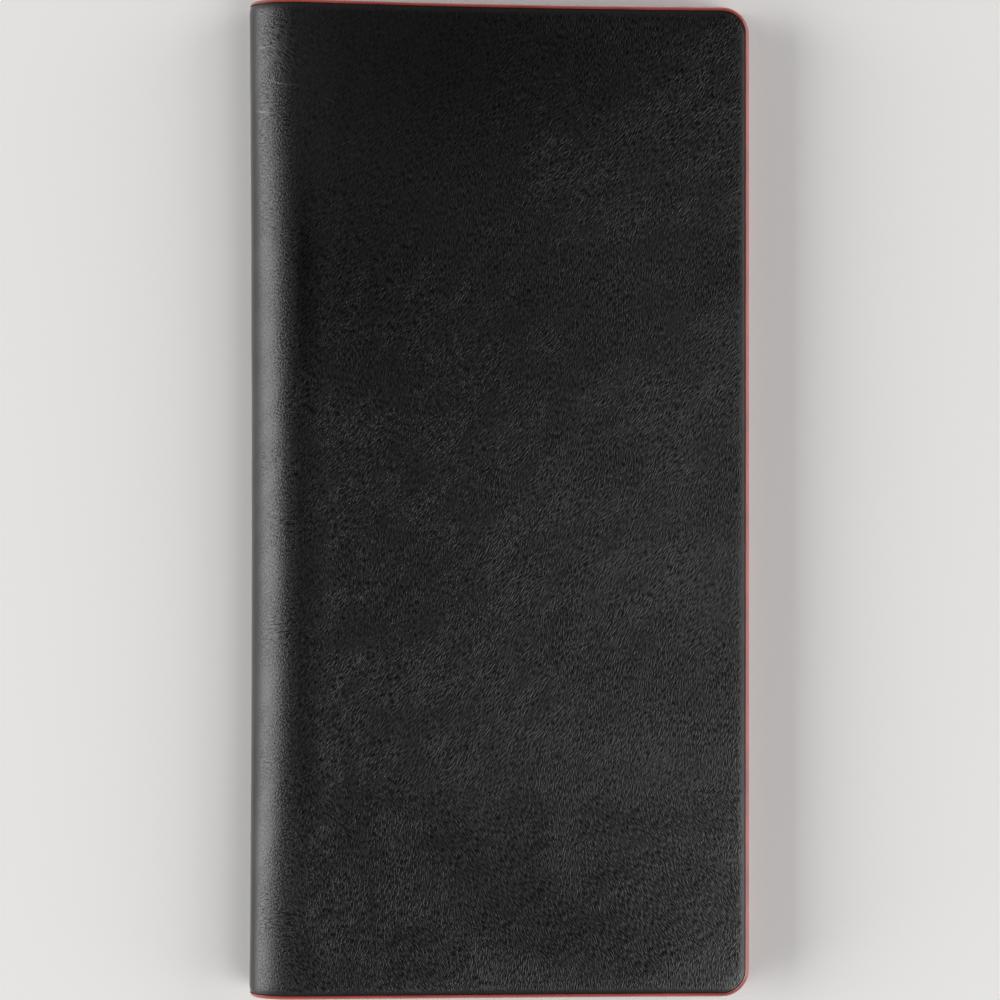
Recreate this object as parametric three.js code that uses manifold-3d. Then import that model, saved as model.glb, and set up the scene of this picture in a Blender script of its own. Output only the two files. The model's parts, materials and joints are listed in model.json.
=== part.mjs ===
// A tall bifold travel wallet, closed and lying on its back cover.
//
// Two stiffened leather covers are joined by a soft rounded spine. Each cover is a laminate of
// outer leather, board and lining, and a red bead seals its cut edges. Pockets are sewn to the
// linings only, so no stitch shows on the outside.
//
// Units are millimetres. +X runs from the spine to the fore edge, +Y from tail to head, +Z up.
// The origin is the centre of the footprint, on the surface that the back cover lies on.

import * as THREE from 'three';
import { mergeVertices } from 'three/addons/utils/BufferGeometryUtils.js';
import Module from 'manifold-3d';

const wasm = await Module();
wasm.setup();

// Outside of the closed wallet
const WALLET_WIDTH = 110;
const WALLET_HEIGHT = 220;
const FOLD_DEPTH = 10; // how far the round of the spine reaches past the covers' fold lines
const CORNER_RADIUS = 6.2; // fore-edge corners, measured over the bead
const COVER_DROOP = THREE.MathUtils.degToRad(1.5); // the empty front cover falls to its fore edge

// Sheet thicknesses
const COVER_LEATHER = 1.1;
const COVER_BOARD = 0.8;
const SPINE_STAY = 0.5;
const LINING_LEATHER = 0.7;
const POCKET_LEATHER = 0.6;
const CARD_LEATHER = 0.5;

// Edge bead
const BEAD_WIDTH = 0.9; // how far it stands out past the leather's cut edge
const BEAD_FLAT = 0.3; // the straight band along the middle of its round

// Clearances
const GLUE_LINE = 0.08; // film between bonded layers, and at a seam's two faces
const BOARD_INSET = 1.5; // the board stops short of the cut edges, which are pressed together
const FOLD_GAP = 0.4; // running gap where a cover meets the spine
const POCKET_EASE = 0.3; // slack between a pocket and the sheet behind it
const CLOSED_ROOM = 1.0; // between the two facing pocket stacks, at the fore edge

// Pockets
const POCKET_MARGIN = 2.1; // lining left bare round a pocket
const POCKET_CORNER = 3.0;
const MOUTH_SETBACK = 4.5; // from the fold line to the pockets' spine-side edges
const SEAM_INSET = 1.5;
const SEAM_WIDTH = 1.2; // a row of thread with the glue on both sides of it
const PASSPORT_POCKET_HEIGHT = 98;
const CARD_SLOT_COUNT = 4;
const CARD_SLOT_STEP = 13;
const CARD_SLOT_DEPTH = 47; // from a slot's mouth to the seam that stops the card

// Facets
const CORNER_SEGMENTS = 8;
const FOLD_SEGMENTS = 28;
const BEAD_SEGMENTS = 4;

// Worked out from the values above: depths are counted inwards from a cover's outer face
const BOARD_DEPTH = COVER_LEATHER + GLUE_LINE;
const LINING_DEPTH = BOARD_DEPTH + COVER_BOARD + GLUE_LINE;
const COVER_THICKNESS = LINING_DEPTH + LINING_LEATHER;
const FULL_POCKET_DEPTH = COVER_THICKNESS + POCKET_EASE;
const FULL_POCKET_FACE = FULL_POCKET_DEPTH + POCKET_LEATHER;
const PASSPORT_POCKET_DEPTH = FULL_POCKET_FACE + POCKET_EASE;
const BACK_STACK = PASSPORT_POCKET_DEPTH + POCKET_LEATHER;
const CARD_LEVEL = POCKET_EASE + CARD_LEATHER;
const FRONT_STACK = FULL_POCKET_FACE + CARD_SLOT_COUNT * CARD_LEVEL;

// Along a cover, counted from its fold line
const FOLD_X = -WALLET_WIDTH / 2 + FOLD_DEPTH;
const COVER_WIDTH = WALLET_WIDTH - FOLD_DEPTH;
const BEAD_SEAT = COVER_WIDTH - BEAD_WIDTH;
const BEAD_SEAT_Y = WALLET_HEIGHT / 2 - BEAD_WIDTH;
const CUT_EDGE = BEAD_SEAT - GLUE_LINE;
const CUT_EDGE_Y = BEAD_SEAT_Y - GLUE_LINE;
const POCKET_EDGE = CUT_EDGE - POCKET_MARGIN;
const POCKET_TAIL = -CUT_EDGE_Y + POCKET_MARGIN;
const POCKET_HEAD = CUT_EDGE_Y - POCKET_MARGIN;
const PASSPORT_MOUTH = POCKET_TAIL + PASSPORT_POCKET_HEIGHT;

// The covers close until the facing stacks are CLOSED_ROOM apart at the fore edge
const WALLET_THICKNESS = CLOSED_ROOM + BACK_STACK
  + POCKET_EDGE * Math.sin(COVER_DROOP) + FRONT_STACK * Math.cos(COVER_DROOP);
const FOLD_RISE = WALLET_THICKNESS / 2;
const SPINE_THICKNESS = COVER_LEATHER + SPINE_STAY + LINING_LEATHER + 2 * GLUE_LINE;

// Each fold line's axis lies where the leather keeps its length and the opened spine lies flat
const QUARTER_ARC = (Math.PI / 4) * (3 * (FOLD_DEPTH + FOLD_RISE)
  - Math.sqrt((3 * FOLD_DEPTH + FOLD_RISE) * (FOLD_DEPTH + 3 * FOLD_RISE)));
const AXIS_INSET = (FOLD_DEPTH + FOLD_RISE - QUARTER_ARC) / 2;

// Materials
function finish(color, roughness) {
  return new THREE.MeshStandardMaterial({ color, roughness, metalness: 0 });
}
const BLACK_LEATHER = finish(0x1d1d1e, 0.5);
const RED_LEATHER = finish(0xa3271c, 0.6);
const RED_EDGE = finish(0xb8382a, 0.35);
const GREY_BOARD = finish(0x8d857a, 0.9);
const RED_THREAD = finish(0xb23a2c, 0.7);

// Solids from closed meshes, for joining and cutting
function solidOf(geometry) {
  const bare = geometry.clone();
  bare.deleteAttribute('normal');
  bare.deleteAttribute('uv');
  const merged = mergeVertices(bare, 1e-4);
  return new wasm.Manifold(new wasm.Mesh({
    numProp: 3,
    vertProperties: merged.attributes.position.array,
    triVerts: new Uint32Array(merged.index.array),
  }));
}

function geometryOf(solid) {
  const mesh = solid.getMesh();
  const geometry = new THREE.BufferGeometry();
  geometry.setAttribute('position', new THREE.BufferAttribute(mesh.vertProperties, 3));
  geometry.setIndex(new THREE.BufferAttribute(mesh.triVerts, 1));
  geometry.computeVertexNormals();
  return geometry;
}

function boxBetween(low, high) {
  const size = high.clone().sub(low);
  const box = new THREE.BoxGeometry(size.x, size.y, size.z);
  box.translate(low.x + size.x / 2, low.y + size.y / 2, low.z + size.z / 2);
  return solidOf(box);
}

// Outlines
function coverOutline(start, edge, edgeY, radius) {
  const shape = new THREE.Shape();
  shape.moveTo(start, -edgeY);
  shape.lineTo(edge - radius, -edgeY);
  shape.absarc(edge - radius, -edgeY + radius, radius, -Math.PI / 2, 0);
  shape.lineTo(edge, edgeY - radius);
  shape.absarc(edge - radius, edgeY - radius, radius, 0, Math.PI / 2);
  shape.lineTo(start, edgeY);
  shape.closePath();
  return shape;
}

function pocketOutline(tail, head) {
  const [left, right, r] = [MOUTH_SETBACK, POCKET_EDGE, POCKET_CORNER];
  const shape = new THREE.Shape();
  shape.moveTo(left + r, tail);
  shape.lineTo(right - r, tail);
  shape.absarc(right - r, tail + r, r, -Math.PI / 2, 0);
  shape.lineTo(right, head - r);
  shape.absarc(right - r, head - r, r, 0, Math.PI / 2);
  shape.lineTo(left + r, head);
  shape.absarc(left + r, head - r, r, Math.PI / 2, Math.PI);
  shape.lineTo(left, tail + r);
  shape.absarc(left + r, tail + r, r, Math.PI, 1.5 * Math.PI);
  return shape;
}

// A three-sided seam, open on the side of the pocket's mouth
function seamOpenToSpine(tail, head) {
  const right = POCKET_EDGE - SEAM_INSET;
  const [low, high] = [tail + SEAM_INSET, head - SEAM_INSET];
  return new THREE.Shape([
    new THREE.Vector2(MOUTH_SETBACK, low),
    new THREE.Vector2(right, low),
    new THREE.Vector2(right, high),
    new THREE.Vector2(MOUTH_SETBACK, high),
    new THREE.Vector2(MOUTH_SETBACK, high - SEAM_WIDTH),
    new THREE.Vector2(right - SEAM_WIDTH, high - SEAM_WIDTH),
    new THREE.Vector2(right - SEAM_WIDTH, low + SEAM_WIDTH),
    new THREE.Vector2(MOUTH_SETBACK, low + SEAM_WIDTH),
  ]);
}

function seamOpenToHead(stop, mouth) {
  const [left, right] = [MOUTH_SETBACK + SEAM_INSET, POCKET_EDGE - SEAM_INSET];
  return new THREE.Shape([
    new THREE.Vector2(left, stop - SEAM_WIDTH),
    new THREE.Vector2(right, stop - SEAM_WIDTH),
    new THREE.Vector2(right, mouth - POCKET_CORNER),
    new THREE.Vector2(right - SEAM_WIDTH, mouth - POCKET_CORNER),
    new THREE.Vector2(right - SEAM_WIDTH, stop),
    new THREE.Vector2(left + SEAM_WIDTH, stop),
    new THREE.Vector2(left + SEAM_WIDTH, mouth - POCKET_CORNER),
    new THREE.Vector2(left, mouth - POCKET_CORNER),
  ]);
}

function sheet(outline, thickness) {
  return new THREE.ExtrudeGeometry(outline, {
    depth: thickness, bevelEnabled: false, curveSegments: CORNER_SEGMENTS,
  });
}

// A cover is a group whose origin is its fold line, on its outer face. The stack grows inwards,
// which is up on the back cover and down on the front cover.
function coverGroup(prefix, inwards) {
  const group = new THREE.Group();

  function lay(name, geometry, depth, thickness, material) {
    const mesh = new THREE.Mesh(geometry, material);
    mesh.name = name;
    mesh.position.z = inwards > 0 ? depth : -depth - thickness;
    group.add(mesh);
  }

  function laySheet(name, outline, depth, thickness, material) {
    lay(name, sheet(outline, thickness), depth, thickness, material);
  }

  function laySeam(name, outline, sheetDepth) {
    const thickness = POCKET_EASE - 2 * GLUE_LINE;
    laySheet(name, outline, sheetDepth - GLUE_LINE - thickness, thickness, RED_THREAD);
  }

  const cutRadius = CORNER_RADIUS - BEAD_WIDTH - GLUE_LINE;
  const cutOutline = coverOutline(FOLD_GAP, CUT_EDGE, CUT_EDGE_Y, cutRadius);
  const boardOutline = coverOutline(
    FOLD_GAP + BOARD_INSET, CUT_EDGE - BOARD_INSET, CUT_EDGE_Y - BOARD_INSET, cutRadius - BOARD_INSET,
  );
  laySheet(prefix + '_leather', cutOutline, 0, COVER_LEATHER, BLACK_LEATHER);
  laySheet(prefix + '_board', boardOutline, BOARD_DEPTH, COVER_BOARD, GREY_BOARD);
  laySheet(prefix + '_lining', cutOutline, LINING_DEPTH, LINING_LEATHER, RED_LEATHER);
  lay(prefix + '_edge_bead', coverBead(), 0, COVER_THICKNESS, RED_EDGE);
  return { group, laySheet, laySeam };
}

// The bead round a cover's three cut edges: a half-round rim left when the cover is cut out
function coverBead() {
  const seat = coverOutline(-FOLD_DEPTH, BEAD_SEAT, BEAD_SEAT_Y, CORNER_RADIUS - BEAD_WIDTH);
  const bevelThickness = (COVER_THICKNESS - BEAD_FLAT) / 2;
  const rounded = new THREE.ExtrudeGeometry(seat, {
    depth: BEAD_FLAT,
    bevelThickness,
    bevelSize: BEAD_WIDTH,
    bevelSegments: BEAD_SEGMENTS,
    curveSegments: CORNER_SEGMENTS,
  });
  rounded.translate(0, 0, bevelThickness);
  const throughCover = sheet(seat, COVER_THICKNESS * 3);
  throughCover.translate(0, 0, -COVER_THICKNESS);
  const pastFold = boxBetween(
    new THREE.Vector3(FOLD_GAP, -WALLET_HEIGHT, -COVER_THICKNESS),
    new THREE.Vector3(WALLET_WIDTH, WALLET_HEIGHT, 2 * COVER_THICKNESS),
  );
  return geometryOf(solidOf(rounded).intersect(pastFold).subtract(solidOf(throughCover)));
}

// The spine's half-round section between two depths, with its ends run on past the fold lines
function foldSection(outerDepth, innerDepth, runOn) {
  const [outerX, outerZ] = [FOLD_DEPTH - outerDepth, FOLD_RISE - outerDepth];
  const [innerX, innerZ] = [FOLD_DEPTH - innerDepth, FOLD_RISE - innerDepth];
  const shape = new THREE.Shape();
  shape.moveTo(runOn, outerZ);
  shape.lineTo(0, outerZ);
  shape.absellipse(0, 0, outerX, outerZ, Math.PI / 2, 1.5 * Math.PI);
  shape.lineTo(runOn, -outerZ);
  shape.lineTo(runOn, -innerZ);
  shape.lineTo(0, -innerZ);
  shape.absellipse(0, 0, innerX, innerZ, 1.5 * Math.PI, Math.PI / 2, true);
  shape.lineTo(runOn, innerZ);
  shape.closePath();
  return shape;
}

// Turns a section drawn in X and Y and extruded along Z into one drawn in X and Z, along -Y
function alongSpine(geometry) {
  geometry.rotateX(Math.PI / 2);
  return geometry;
}

function foldLayer(outerDepth, thickness) {
  const length = 2 * CUT_EDGE_Y;
  const layer = new THREE.ExtrudeGeometry(foldSection(outerDepth, outerDepth + thickness, 0), {
    depth: length, bevelEnabled: false, curveSegments: FOLD_SEGMENTS,
  });
  layer.translate(0, 0, -length / 2);
  return alongSpine(layer);
}

// The bead over the spine's cut edge at one end: end is 1 at the head and -1 at the tail
function foldBead(end) {
  const inset = (SPINE_THICKNESS - BEAD_FLAT) / 2;
  const core = foldSection(inset, SPINE_THICKNESS - inset, FOLD_DEPTH);
  const rounded = new THREE.ExtrudeGeometry(core, {
    depth: BEAD_WIDTH,
    bevelThickness: BEAD_WIDTH,
    bevelSize: inset,
    bevelSegments: BEAD_SEGMENTS,
    curveSegments: FOLD_SEGMENTS,
  });
  rounded.translate(0, 0, -BEAD_WIDTH);
  const halfRound = boxBetween(
    new THREE.Vector3(-WALLET_WIDTH, -WALLET_WIDTH, 0),
    new THREE.Vector3(0, WALLET_WIDTH, WALLET_WIDTH),
  );
  const bead = geometryOf(solidOf(rounded).intersect(halfRound));
  bead.rotateX(end * -Math.PI / 2);
  bead.translate(0, end * BEAD_SEAT_Y, 0);
  return bead;
}

function spineGroup() {
  const group = new THREE.Group();

  function add(name, geometry, material) {
    const mesh = new THREE.Mesh(geometry, material);
    mesh.name = name;
    group.add(mesh);
  }

  const stayDepth = COVER_LEATHER + GLUE_LINE;
  const liningDepth = stayDepth + SPINE_STAY + GLUE_LINE;
  add('spine_leather', foldLayer(0, COVER_LEATHER), BLACK_LEATHER);
  add('spine_stay', foldLayer(stayDepth, SPINE_STAY), GREY_BOARD);
  add('spine_lining', foldLayer(liningDepth, LINING_LEATHER), RED_LEATHER);
  add('spine_head_bead', foldBead(1), RED_EDGE);
  add('spine_tail_bead', foldBead(-1), RED_EDGE);
  return group;
}

// The back cover carries a full-height document pocket with a passport pocket over it
function backCover() {
  const { group, laySheet, laySeam } = coverGroup('back', 1);
  const documents = pocketOutline(POCKET_TAIL, POCKET_HEAD);
  laySheet('document_pocket', documents, FULL_POCKET_DEPTH, POCKET_LEATHER, BLACK_LEATHER);
  laySeam('document_pocket_seam', seamOpenToSpine(POCKET_TAIL, POCKET_HEAD), FULL_POCKET_DEPTH);

  const passport = pocketOutline(POCKET_TAIL, PASSPORT_MOUTH);
  const passportStop = POCKET_TAIL + SEAM_INSET + SEAM_WIDTH;
  laySheet('passport_pocket', passport, PASSPORT_POCKET_DEPTH, POCKET_LEATHER, BLACK_LEATHER);
  laySeam('passport_pocket_seam', seamOpenToHead(passportStop, PASSPORT_MOUTH), PASSPORT_POCKET_DEPTH);
  return group;
}

// The front cover carries a full-height ticket pocket with stepped card slots over it. Slot 1 is
// the rearmost and has the highest mouth.
function frontCover() {
  const { group, laySheet, laySeam } = coverGroup('front', -1);
  const tickets = pocketOutline(POCKET_TAIL, POCKET_HEAD);
  laySheet('ticket_pocket', tickets, FULL_POCKET_DEPTH, POCKET_LEATHER, BLACK_LEATHER);
  laySeam('ticket_pocket_seam', seamOpenToSpine(POCKET_TAIL, POCKET_HEAD), FULL_POCKET_DEPTH);

  for (let slot = 1; slot <= CARD_SLOT_COUNT; slot += 1) {
    const depth = FULL_POCKET_FACE + (slot - 1) * CARD_LEVEL + POCKET_EASE;
    const stop = POCKET_TAIL + SEAM_INSET + SEAM_WIDTH + (CARD_SLOT_COUNT - slot) * CARD_SLOT_STEP;
    const mouth = stop + CARD_SLOT_DEPTH;
    laySheet(`card_slot_${slot}`, pocketOutline(POCKET_TAIL, mouth), depth, CARD_LEATHER, BLACK_LEATHER);
    laySeam(`card_slot_seam_${slot}`, seamOpenToHead(stop, mouth), depth);
  }
  return group;
}

// Assembly: the back cover lies still, the spine folds on it and the front cover folds on the spine.
// Each fold is a group whose origin is on the fold's axis, which runs along Y.
const wallet = new THREE.Group();
wallet.name = 'travel_wallet';

const back = backCover();
back.position.set(FOLD_X, 0, 0);
wallet.add(back);

const spineFold = new THREE.Group();
spineFold.name = 'spine_fold';
spineFold.position.set(-WALLET_WIDTH / 2 + AXIS_INSET, 0, AXIS_INSET);
wallet.add(spineFold);

const spine = spineGroup();
spine.position.set(FOLD_DEPTH - AXIS_INSET, 0, FOLD_RISE - AXIS_INSET);
spineFold.add(spine);

const frontFold = new THREE.Group();
frontFold.name = 'front_fold';
frontFold.position.set(0, 0, WALLET_THICKNESS - 2 * AXIS_INSET);
spineFold.add(frontFold);

const front = frontCover();
front.position.set(FOLD_DEPTH - AXIS_INSET, 0, AXIS_INSET);
front.rotation.y = COVER_DROOP;
frontFold.add(front);

export default wallet;
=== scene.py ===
# %% [markdown]
# # A closed leather travel wallet
#
# The wallet lies on its back cover and is seen straight on from above. Two stiff covers are joined
# by a soft round spine, and a red bead seals every cut edge. The frame holds the hard sizes and the
# two folds. Here each sheet is cut flat, as a leather worker cuts it, and then rolled round the fold.

# %% Load the frame
import json
import math
from types import SimpleNamespace

import bmesh
import bpy
from mathutils import Matrix, Vector, noise


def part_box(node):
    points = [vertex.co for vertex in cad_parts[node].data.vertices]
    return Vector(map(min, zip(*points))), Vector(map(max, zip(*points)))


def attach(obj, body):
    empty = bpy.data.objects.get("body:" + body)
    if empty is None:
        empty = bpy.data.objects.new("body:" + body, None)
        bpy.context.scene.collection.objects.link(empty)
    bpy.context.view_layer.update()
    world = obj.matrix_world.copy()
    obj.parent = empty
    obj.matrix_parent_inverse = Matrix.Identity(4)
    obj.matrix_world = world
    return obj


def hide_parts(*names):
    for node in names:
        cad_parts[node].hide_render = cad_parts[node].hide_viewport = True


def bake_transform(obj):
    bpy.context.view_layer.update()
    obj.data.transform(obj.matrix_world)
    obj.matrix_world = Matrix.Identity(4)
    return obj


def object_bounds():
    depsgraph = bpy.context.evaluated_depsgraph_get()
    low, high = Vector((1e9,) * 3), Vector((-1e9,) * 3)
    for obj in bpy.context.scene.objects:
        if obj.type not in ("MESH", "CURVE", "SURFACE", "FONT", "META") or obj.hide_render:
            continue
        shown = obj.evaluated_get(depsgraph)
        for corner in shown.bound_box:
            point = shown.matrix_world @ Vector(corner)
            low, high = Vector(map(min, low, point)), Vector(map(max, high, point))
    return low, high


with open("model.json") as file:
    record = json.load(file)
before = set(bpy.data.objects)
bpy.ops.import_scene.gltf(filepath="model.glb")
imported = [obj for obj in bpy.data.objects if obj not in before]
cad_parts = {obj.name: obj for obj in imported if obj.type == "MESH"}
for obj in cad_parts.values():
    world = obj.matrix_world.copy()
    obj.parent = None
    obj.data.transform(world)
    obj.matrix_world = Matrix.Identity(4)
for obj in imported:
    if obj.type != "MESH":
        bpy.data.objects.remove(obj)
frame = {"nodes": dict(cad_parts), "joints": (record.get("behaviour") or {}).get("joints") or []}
cad_low, cad_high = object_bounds()
print("frame:", len(frame["nodes"]), "nodes, box", [round(v, 4) for v in cad_high - cad_low])

# %% [markdown]
# ## Sizes that come from the frame
#
# Nothing is fitted by eye. The fold line, the thickness and the depth of every layer are read from
# the boxes of the frame's nodes. Depth is counted inwards from a cover's outer face, so the outer
# leather starts at depth 0 and the pockets lie deepest.

# %% Measure the folds and the layers
MM = 0.001
PAINT_GAP = 0.08 * MM  # between the cut fore edge and the seat of its bead

apex_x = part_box("spine_leather")[0].x
fold_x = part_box("spine_leather")[1].x
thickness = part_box("spine_leather")[1].z
middle_z = thickness / 2
fold_reach = fold_x - apex_x
quarter_turn = math.pi / 4 * (fold_reach + middle_z)

front_fold = next(j for j in frame["joints"] if j["name"] == "front_fold")
droop = math.radians(front_fold["range_deg"][1] - 90)

cut_across = quarter_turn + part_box("back_leather")[1].x - fold_x
cut_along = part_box("back_leather")[1].y
bead_seat_across = cut_across + PAINT_GAP
bead_seat_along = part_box("spine_head_bead")[0].y
bead_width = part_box("spine_head_bead")[1].y - bead_seat_along
cover_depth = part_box("back_edge_bead")[1].z
leather_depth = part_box("back_leather")[1].z
lining_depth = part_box("back_lining")[0].z
spine_lining_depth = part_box("spine_lining")[0].z
stay_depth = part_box("spine_stay")[0].z
spine_depth = spine_lining_depth + cover_depth - lining_depth
print("fold reach", round(fold_reach, 5), "thickness", round(thickness, 5), "droop", round(droop, 4))

# %% [markdown]
# ## Rolling a flat blank round the fold
#
# A blank is drawn flat: X runs across from the middle of the spine to the fore edge, Y runs along
# the spine, and Z is 0 on the outer face and falls with depth. One function rolls any blank round
# the half-round of the spine, so the leather, stay, lining and bead all follow the same curve. The
# spine is split at its middle, because each half bends across one fold only.

# %% The roll
SPINE_BULGE = 0.55 * MM  # the soft leather stands out a little at the head and tail of the spine
SPINE_WAIST = 0.45 * MM  # and is drawn in between them
HEAD_DROP = 1.5 * MM  # the front cover tapers: its head edge falls by this much to the fore edge
TAIL_DROP = -0.3 * MM
MIDDLE_ROUND = 1.24  # the spine is roundest at the middle of its length
HEAD_ROUND = 0.9  # and squarer at its ends, where the bead stiffens it
TAIL_ROUND = 0.76
SQUARE_FROM = 0.3  # the change starts at this share of the half length
SQUARE_SPAN = 0.62
FOLD_CHANGE = 3 * MM


def smooth_step(t):
    """0 below 0, 1 above 1 and a smooth change between."""
    t = min(max(t, 0), 1)
    return t * t * (3 - 2 * t)


def spine_round(along):
    """The power that shapes the spine's section at a place along it."""
    squared = smooth_step((abs(along) / cad_high.y - SQUARE_FROM) / SQUARE_SPAN)
    end = HEAD_ROUND if along > 0 else TAIL_ROUND
    return MIDDLE_ROUND + (end - MIDDLE_ROUND) * squared


def roll(point, side):
    """Where a point of a flat blank lies on the wallet: side is 1 for the front, -1 for the back."""
    across, along, depth = point.x, point.y, -point.z
    if across < quarter_turn:
        turn = across / quarter_turn * math.pi / 2
        bulge = SPINE_BULGE - SPINE_WAIST * (1 - (along / cad_high.y) ** 2)
        x = fold_x - (fold_reach - depth + bulge) * math.cos(turn)
        z = middle_z + (middle_z - depth) * max(math.sin(turn), 0) ** spine_round(along)
    else:
        flat = across - quarter_turn
        tilt = droop if side > 0 else 0.0
        x = fold_x + flat * math.cos(tilt) - depth * math.sin(tilt)
        z = thickness - flat * math.sin(tilt) - depth * math.cos(tilt)
        if side > 0:
            headwards = (along / cad_high.y + 1) / 2
            drop = TAIL_DROP + (HEAD_DROP - TAIL_DROP) * headwards
            share = flat / (cut_across - quarter_turn)
            along -= drop * share * (2 - share)
    return Vector((x, along, z if side > 0 else thickness - z))


def spine_share(across):
    """1 on the spine, 0 on the cover, with a short smooth change at the fold line."""
    return 1 - smooth_step((across - quarter_turn + FOLD_CHANGE) / FOLD_CHANGE)


print("quarter of the spine, along the leather:", round(quarter_turn / MM, 2), "mm")

# %% [markdown]
# ## Blanks, thickness and finished pieces
#
# A blank starts as four vertices. Its corners are rounded by bevelling the vertices, and straight
# cuts score it into a grid fine enough to bend. The grid keeps a true outline, which a subdivided
# plane would not. The flat coordinates are kept as a UV map before the blank is rolled.

# %% Cut a blank
CORNER_STEPS = 10
SNAP = 1e-8


def cut_blank(low, high, radius, rounded):
    """A flat face from low to high, with the named corners (0 to 3, counterclockwise) rounded."""
    bm = bmesh.new()
    spots = [(low[0], low[1]), (high[0], low[1]), (high[0], high[1]), (low[0], high[1])]
    corners = [bm.verts.new((x, y, 0)) for x, y in spots]
    bm.faces.new(corners)
    bmesh.ops.bevel(
        bm, geom=[corners[i] for i in rounded], offset=radius, offset_type="OFFSET",
        segments=CORNER_STEPS, profile=0.5, affect="VERTICES", material=-1,
    )
    return bm


def score(bm, places, axis):
    """Cuts the blank straight through at each place along an axis."""
    for place in places:
        at = Vector((0, 0, 0))
        at[axis] = place
        normal = Vector((0, 0, 0))
        normal[axis] = 1
        everything = bm.verts[:] + bm.edges[:] + bm.faces[:]
        bmesh.ops.bisect_plane(bm, geom=everything, dist=SNAP, plane_co=at, plane_no=normal)


def steps_between(start, end, pitch):
    count = max(1, round((end - start) / pitch))
    return [start + (end - start) * i / count for i in range(1, count)]


def thicken(bm, depth):
    """Makes the flat blank a closed sheet that reaches down to depth."""
    grown = bmesh.ops.extrude_face_region(bm, geom=bm.faces[:])
    lower = [v for v in grown["geom"] if isinstance(v, bmesh.types.BMVert)]
    bmesh.ops.translate(bm, verts=lower, vec=(0, 0, -depth))
    bmesh.ops.recalc_face_normals(bm, faces=bm.faces[:])


# %% Finish a piece
def finish_piece(bm, name, side, material, sharp=40):
    """Keeps the flat pattern as the UV map, rolls the blank onto the wallet and makes the object."""
    pattern = bm.loops.layers.uv.new("pattern")
    for face in bm.faces:
        face.smooth = True
        for loop in face.loops:
            loop[pattern].uv = (side * loop.vert.co.x, loop.vert.co.y)
    for vert in bm.verts:
        vert.co = roll(vert.co, side)
    if side < 0:
        bmesh.ops.reverse_faces(bm, faces=bm.faces[:])
    mesh = bpy.data.meshes.new(name)
    bm.to_mesh(mesh)
    bm.free()
    mesh.set_sharp_from_angle(angle=math.radians(sharp))
    mesh.materials.append(material)
    piece = bpy.data.objects.new(name, mesh)
    bpy.context.scene.collection.objects.link(piece)
    print(name, len(mesh.polygons), "faces")
    return piece


def fold_with(piece, side):
    """Bakes the piece's placement into its mesh; the skins all start and end at the same places."""
    flat_end = Vector((fold_x - cover_depth / 2, 0, cover_depth / 2))
    if side > 0:
        flat_end.z = thickness - flat_end.z
        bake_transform(piece)
    else:
        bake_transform(piece)


# %% [markdown]
# ## Finishes
#
# The wallet has few materials, so each gets its real detail. Leather and thread read the flat UV map
# in millimetres, which makes the grain follow the skin round the spine and stay put as it bends.

# %% Node helpers
def new_finish(name):
    material = bpy.data.materials.new(name)
    material.use_nodes = True
    tree = material.node_tree
    return material, tree, tree.nodes["Principled BSDF"]


def add_node(tree, kind, inputs=None, **settings):
    """A node with its settings, and its inputs set to values or joined to other nodes' outputs."""
    made = tree.nodes.new(kind)
    for key, value in settings.items():
        setattr(made, key, value)
    for key, value in (inputs or {}).items():
        if isinstance(value, bpy.types.NodeSocket):
            tree.links.new(value, made.inputs[key])
        else:
            made.inputs[key].default_value = value
    return made


def pattern_mm(tree):
    """The flat pattern's coordinates, in millimetres."""
    source = add_node(tree, "ShaderNodeUVMap", uv_map="pattern")
    scaled = add_node(tree, "ShaderNodeVectorMath", {0: source.outputs["UV"], "Scale": 1000.0},
                      operation="SCALE")
    return scaled.outputs["Vector"]


def sums(tree, operation, first, second, clamp=False):
    made = add_node(tree, "ShaderNodeMath", {0: first, 1: second}, operation=operation, use_clamp=clamp)
    return made.outputs[0]


def plus(tree, first, second):
    return sums(tree, "ADD", first, second)


def minus(tree, first, second):
    return sums(tree, "SUBTRACT", first, second)


def times(tree, first, second):
    return sums(tree, "MULTIPLY", first, second)


def band(tree, value, low, high):
    """0 below low, 1 above high, smooth between. low may be the larger one."""
    made = add_node(tree, "ShaderNodeMapRange", {"Value": value, "From Min": low, "From Max": high},
                    interpolation_type="SMOOTHSTEP")
    return made.outputs["Result"]


def tone_ramp(tree, value, low, dark, high, light):
    """A colour that goes from dark to light as a value goes from low to high."""
    ramp = add_node(tree, "ShaderNodeValToRGB", {"Fac": value})
    ends = ramp.color_ramp.elements
    ends[0].position = low
    ends[0].color = (*dark, 1)
    ends[1].position = high
    ends[1].color = (*light, 1)
    return ramp.outputs["Color"]


def add_bump(tree, shader, height, distance, strength=1.0):
    bump = add_node(tree, "ShaderNodeBump", {"Height": height, "Strength": strength, "Distance": distance})
    tree.links.new(bump.outputs["Normal"], shader.inputs["Normal"])


# %% [markdown]
# ## Black cover leather
#
# Smooth hide is never even. Its creases run one way at a place, and that way changes slowly over the
# skin: rising over most of the cover, falling towards the tail, upright in patches, coarse round the
# spine. Slow masks choose between a few kinds of crease, because one noise alone looks like plastic.
# Where two kinds meet, a plain mix would lose depth, so the mix gives it back.

# %% Creases
MEAN = 0.5  # of every noise


def slow_noise(tree, spot, per_mm, detail=1.0):
    return add_node(tree, "ShaderNodeTexNoise", {"Vector": spot, "Scale": per_mm, "Detail": detail},
                    noise_dimensions="2D")


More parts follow.
